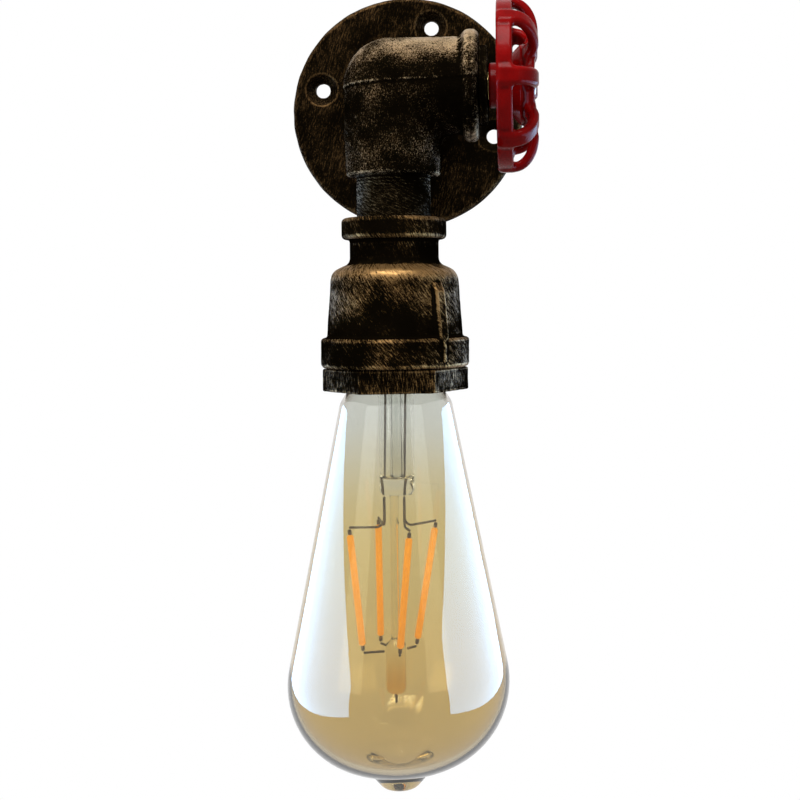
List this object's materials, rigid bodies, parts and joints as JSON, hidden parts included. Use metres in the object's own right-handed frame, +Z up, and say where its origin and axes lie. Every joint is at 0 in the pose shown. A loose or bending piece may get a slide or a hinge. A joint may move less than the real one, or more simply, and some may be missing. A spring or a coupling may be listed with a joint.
{
  "type": "pipe wall light",
  "caption": "Wall light made of pipe fittings: round wall flange, side-outlet elbow with a spoked handwheel, drop pipe, bell reducer, hexagon bush and a pear-shaped filament lamp.",
  "frame": {"origin": "middle of the wall flange's back face, on the wall", "axes": "+Y into the wall, +Z up, +X towards the handwheel; the light stands out towards -Y and the lamp hangs down -Z"},
  "size_m": [0.08, 0.0919, 0.2403],
  "materials": {
    "dark_cast_patina": "dry-brushed copper over near black, sand cast",
    "sand_cast_patina": "dry-brushed greyish gold over near black, sand cast",
    "bell_cast_patina": "diagonal copper brushing over near black",
    "hex_patina": "vertical copper brushing over near black",
    "pipe_patina": "fine brushing round the pipe over near black",
    "valve_brass": "turned",
    "red_enamel": "glossy enamel",
    "dark_steel": "blackened",
    "white_ceramic": "glazed ceramic",
    "contact_brass": "bright",
    "brown_insulation": "insulation",
    "blue_insulation": "insulation",
    "green_insulation": "insulation",
    "tinned_copper": "tinned",
    "lamp_solder": "solder",
    "black_vitrite": "black glass",
    "cap_nickel": "nickel plated",
    "cap_cement": "cement",
    "circuit_board": "laminate",
    "capacitor_sleeve": "sleeve",
    "amber_glass": "clear at the neck, amber towards the bottom",
    "stem_glass": "clear",
    "post_glass": "clear with amber foot",
    "support_wire": "nickel wire",
    "filament_phosphor": "phosphor coated"
  },
  "bodies": {
    "root": {"wall_flange": "dark_cast_patina", "back_nipple": "pipe_patina", "elbow": "sand_cast_patina", "side_plug": "dark_cast_patina", "drop_nipple": "pipe_patina", "bell_reducer": "bell_cast_patina", "hex_bush": "hex_patina", "lampholder_body": "white_ceramic", "lampholder_shell": "contact_brass", "holder_rivets": "contact_brass", "terminal_plates": "contact_brass", "terminal_screws": "dark_steel", "live_wire": "brown_insulation", "neutral_wire": "blue_insulation", "earth_wire": "green_insulation", "wire_ferrules": "tinned_copper", "earth_tag": "contact_brass"},
    "handwheel": {"handwheel": "red_enamel", "valve_stem": "valve_brass", "wheel_washer": "dark_steel", "wheel_screw": "dark_steel"},
    "bulb_carrier": {"bulb_tip": "lamp_solder", "cap_insulator": "black_vitrite"},
    "bulb": {"cap_shell": "cap_nickel", "cap_cement": "cap_cement", "driver_board": "circuit_board", "driver_capacitor": "capacitor_sleeve", "bulb_glass": "amber_glass", "stem_flare": "stem_glass", "exhaust_tube": "stem_glass", "centre_post": "post_glass", "post_wire": "support_wire", "lead_wires": "support_wire", "upper_supports": "support_wire", "lower_supports": "support_wire", "filament_tabs": "support_wire", "filament_1": "filament_phosphor", "filament_2": "filament_phosphor", "filament_3": "filament_phosphor", "filament_4": "filament_phosphor"},
    "contact_tongue": {"contact_tongue": "contact_brass"}
  },
  "joints": [
    {"name": "handwheel_turn", "type": "hinge", "parent": "root", "child": "handwheel", "pos_m": [0.03, -0.06, 0], "axis": [1, 0, 0], "continuous": true},
    {"name": "bulb_travel", "type": "slide", "parent": "root", "child": "bulb_carrier", "axis": [0, 0, -1], "range_m": [0, 0.0145]},
    {"name": "bulb_turn", "type": "hinge", "parent": "bulb_carrier", "child": "bulb", "pos_m": [0, -0.06, -0.1], "axis": [0, 0, -1], "range_deg": [0, 1440]},
    {"name": "tongue_spring", "type": "hinge", "parent": "root", "child": "contact_tongue", "pos_m": [-0.0092, -0.06, -0.05765], "axis": [0, 1, 0], "range_deg": [0, 5.7]}
  ],
  "couplings": [
    {"joint": "bulb_turn", "follows": "bulb_travel", "rad_per_m": 1731.4},
    {"joint": "tongue_spring", "follows": "bulb_travel", "rad_per_m": 6.74}
  ]
}
